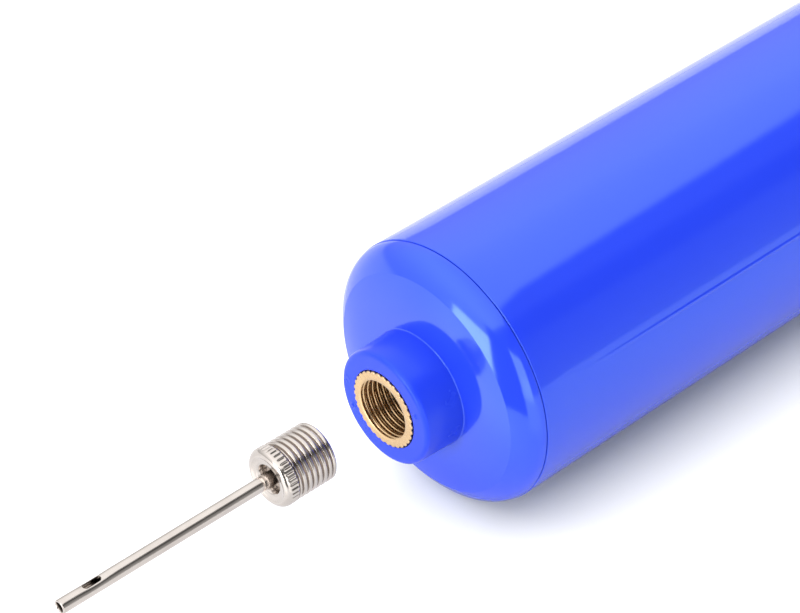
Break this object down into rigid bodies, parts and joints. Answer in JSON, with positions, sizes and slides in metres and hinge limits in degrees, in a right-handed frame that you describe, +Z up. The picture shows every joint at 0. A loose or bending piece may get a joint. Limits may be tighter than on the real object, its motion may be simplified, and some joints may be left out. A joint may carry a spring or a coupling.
{
  "type": "ball inflation pump",
  "caption": "Hand pump for balls: round blue plastic barrel, T-handle plunger, threaded brass nozzle and its inflation needle.",
  "frame": {"origin": "on the ground, on the barrel's lowest flat, under the middle of the barrel's length", "axes": "+X along the pump from the nozzle towards the handle; +Y across, along the handle's bar; +Z up, with the pump lying on its side"},
  "size_m": [0.2469, 0.092, 0.036],
  "materials": {
    "blue_plastic": "gloss moulded, self-coloured",
    "brass": "turned and knurled, bright",
    "nickel": "nickel plated brass",
    "steel": "bright zinc plated",
    "spring_steel": "drawn wire",
    "rubber": "matt moulded",
    "natural_plastic": "natural nylon, matt"
  },
  "bodies": {
    "pump_body": {"barrel": "blue_plastic", "nose_cap": "blue_plastic", "nozzle_insert": "brass", "nozzle_seal_washer": "rubber", "check_valve_seat": "natural_plastic", "check_valve_spring": "spring_steel", "end_cap": "blue_plastic", "rod_guide_bush": "natural_plastic", "end_stop_ring": "rubber"},
    "check_valve": {"check_valve_poppet": "rubber"},
    "piston": {"piston_core": "natural_plastic", "piston_guide_ring": "natural_plastic", "cup_seal": "rubber", "cup_washer": "steel"},
    "plunger": {"piston_rod": "steel", "piston_screw": "steel", "handle": "blue_plastic", "handle_pin": "steel", "handle_bumper": "rubber", "handle_plug_left": "rubber", "handle_plug_right": "rubber"},
    "needle": {"needle_base": "nickel", "needle_tube": "nickel"}
  },
  "joints": [
    {"name": "piston_slide", "type": "slide", "parent": "pump_body", "child": "piston", "axis": [1, 0, 0], "range_m": [0, 0.106]},
    {"name": "handle_spin", "type": "hinge", "parent": "piston", "child": "plunger", "pos_m": [-0.05, 0, 0.018], "axis": [1, 0, 0], "continuous": true},
    {"name": "check_valve_lift", "type": "slide", "parent": "pump_body", "child": "check_valve", "axis": [-1, 0, 0], "range_m": [0, 0.0015], "stiffness_N_per_m": 4, "springref_m": -0.01, "deforming": ["check_valve_spring"]},
    {"name": "needle_slide", "type": "slide", "parent": "pump_body", "child": "needle", "axis": [1, 0, 0], "range_m": [0, 0.0168]}
  ]
}
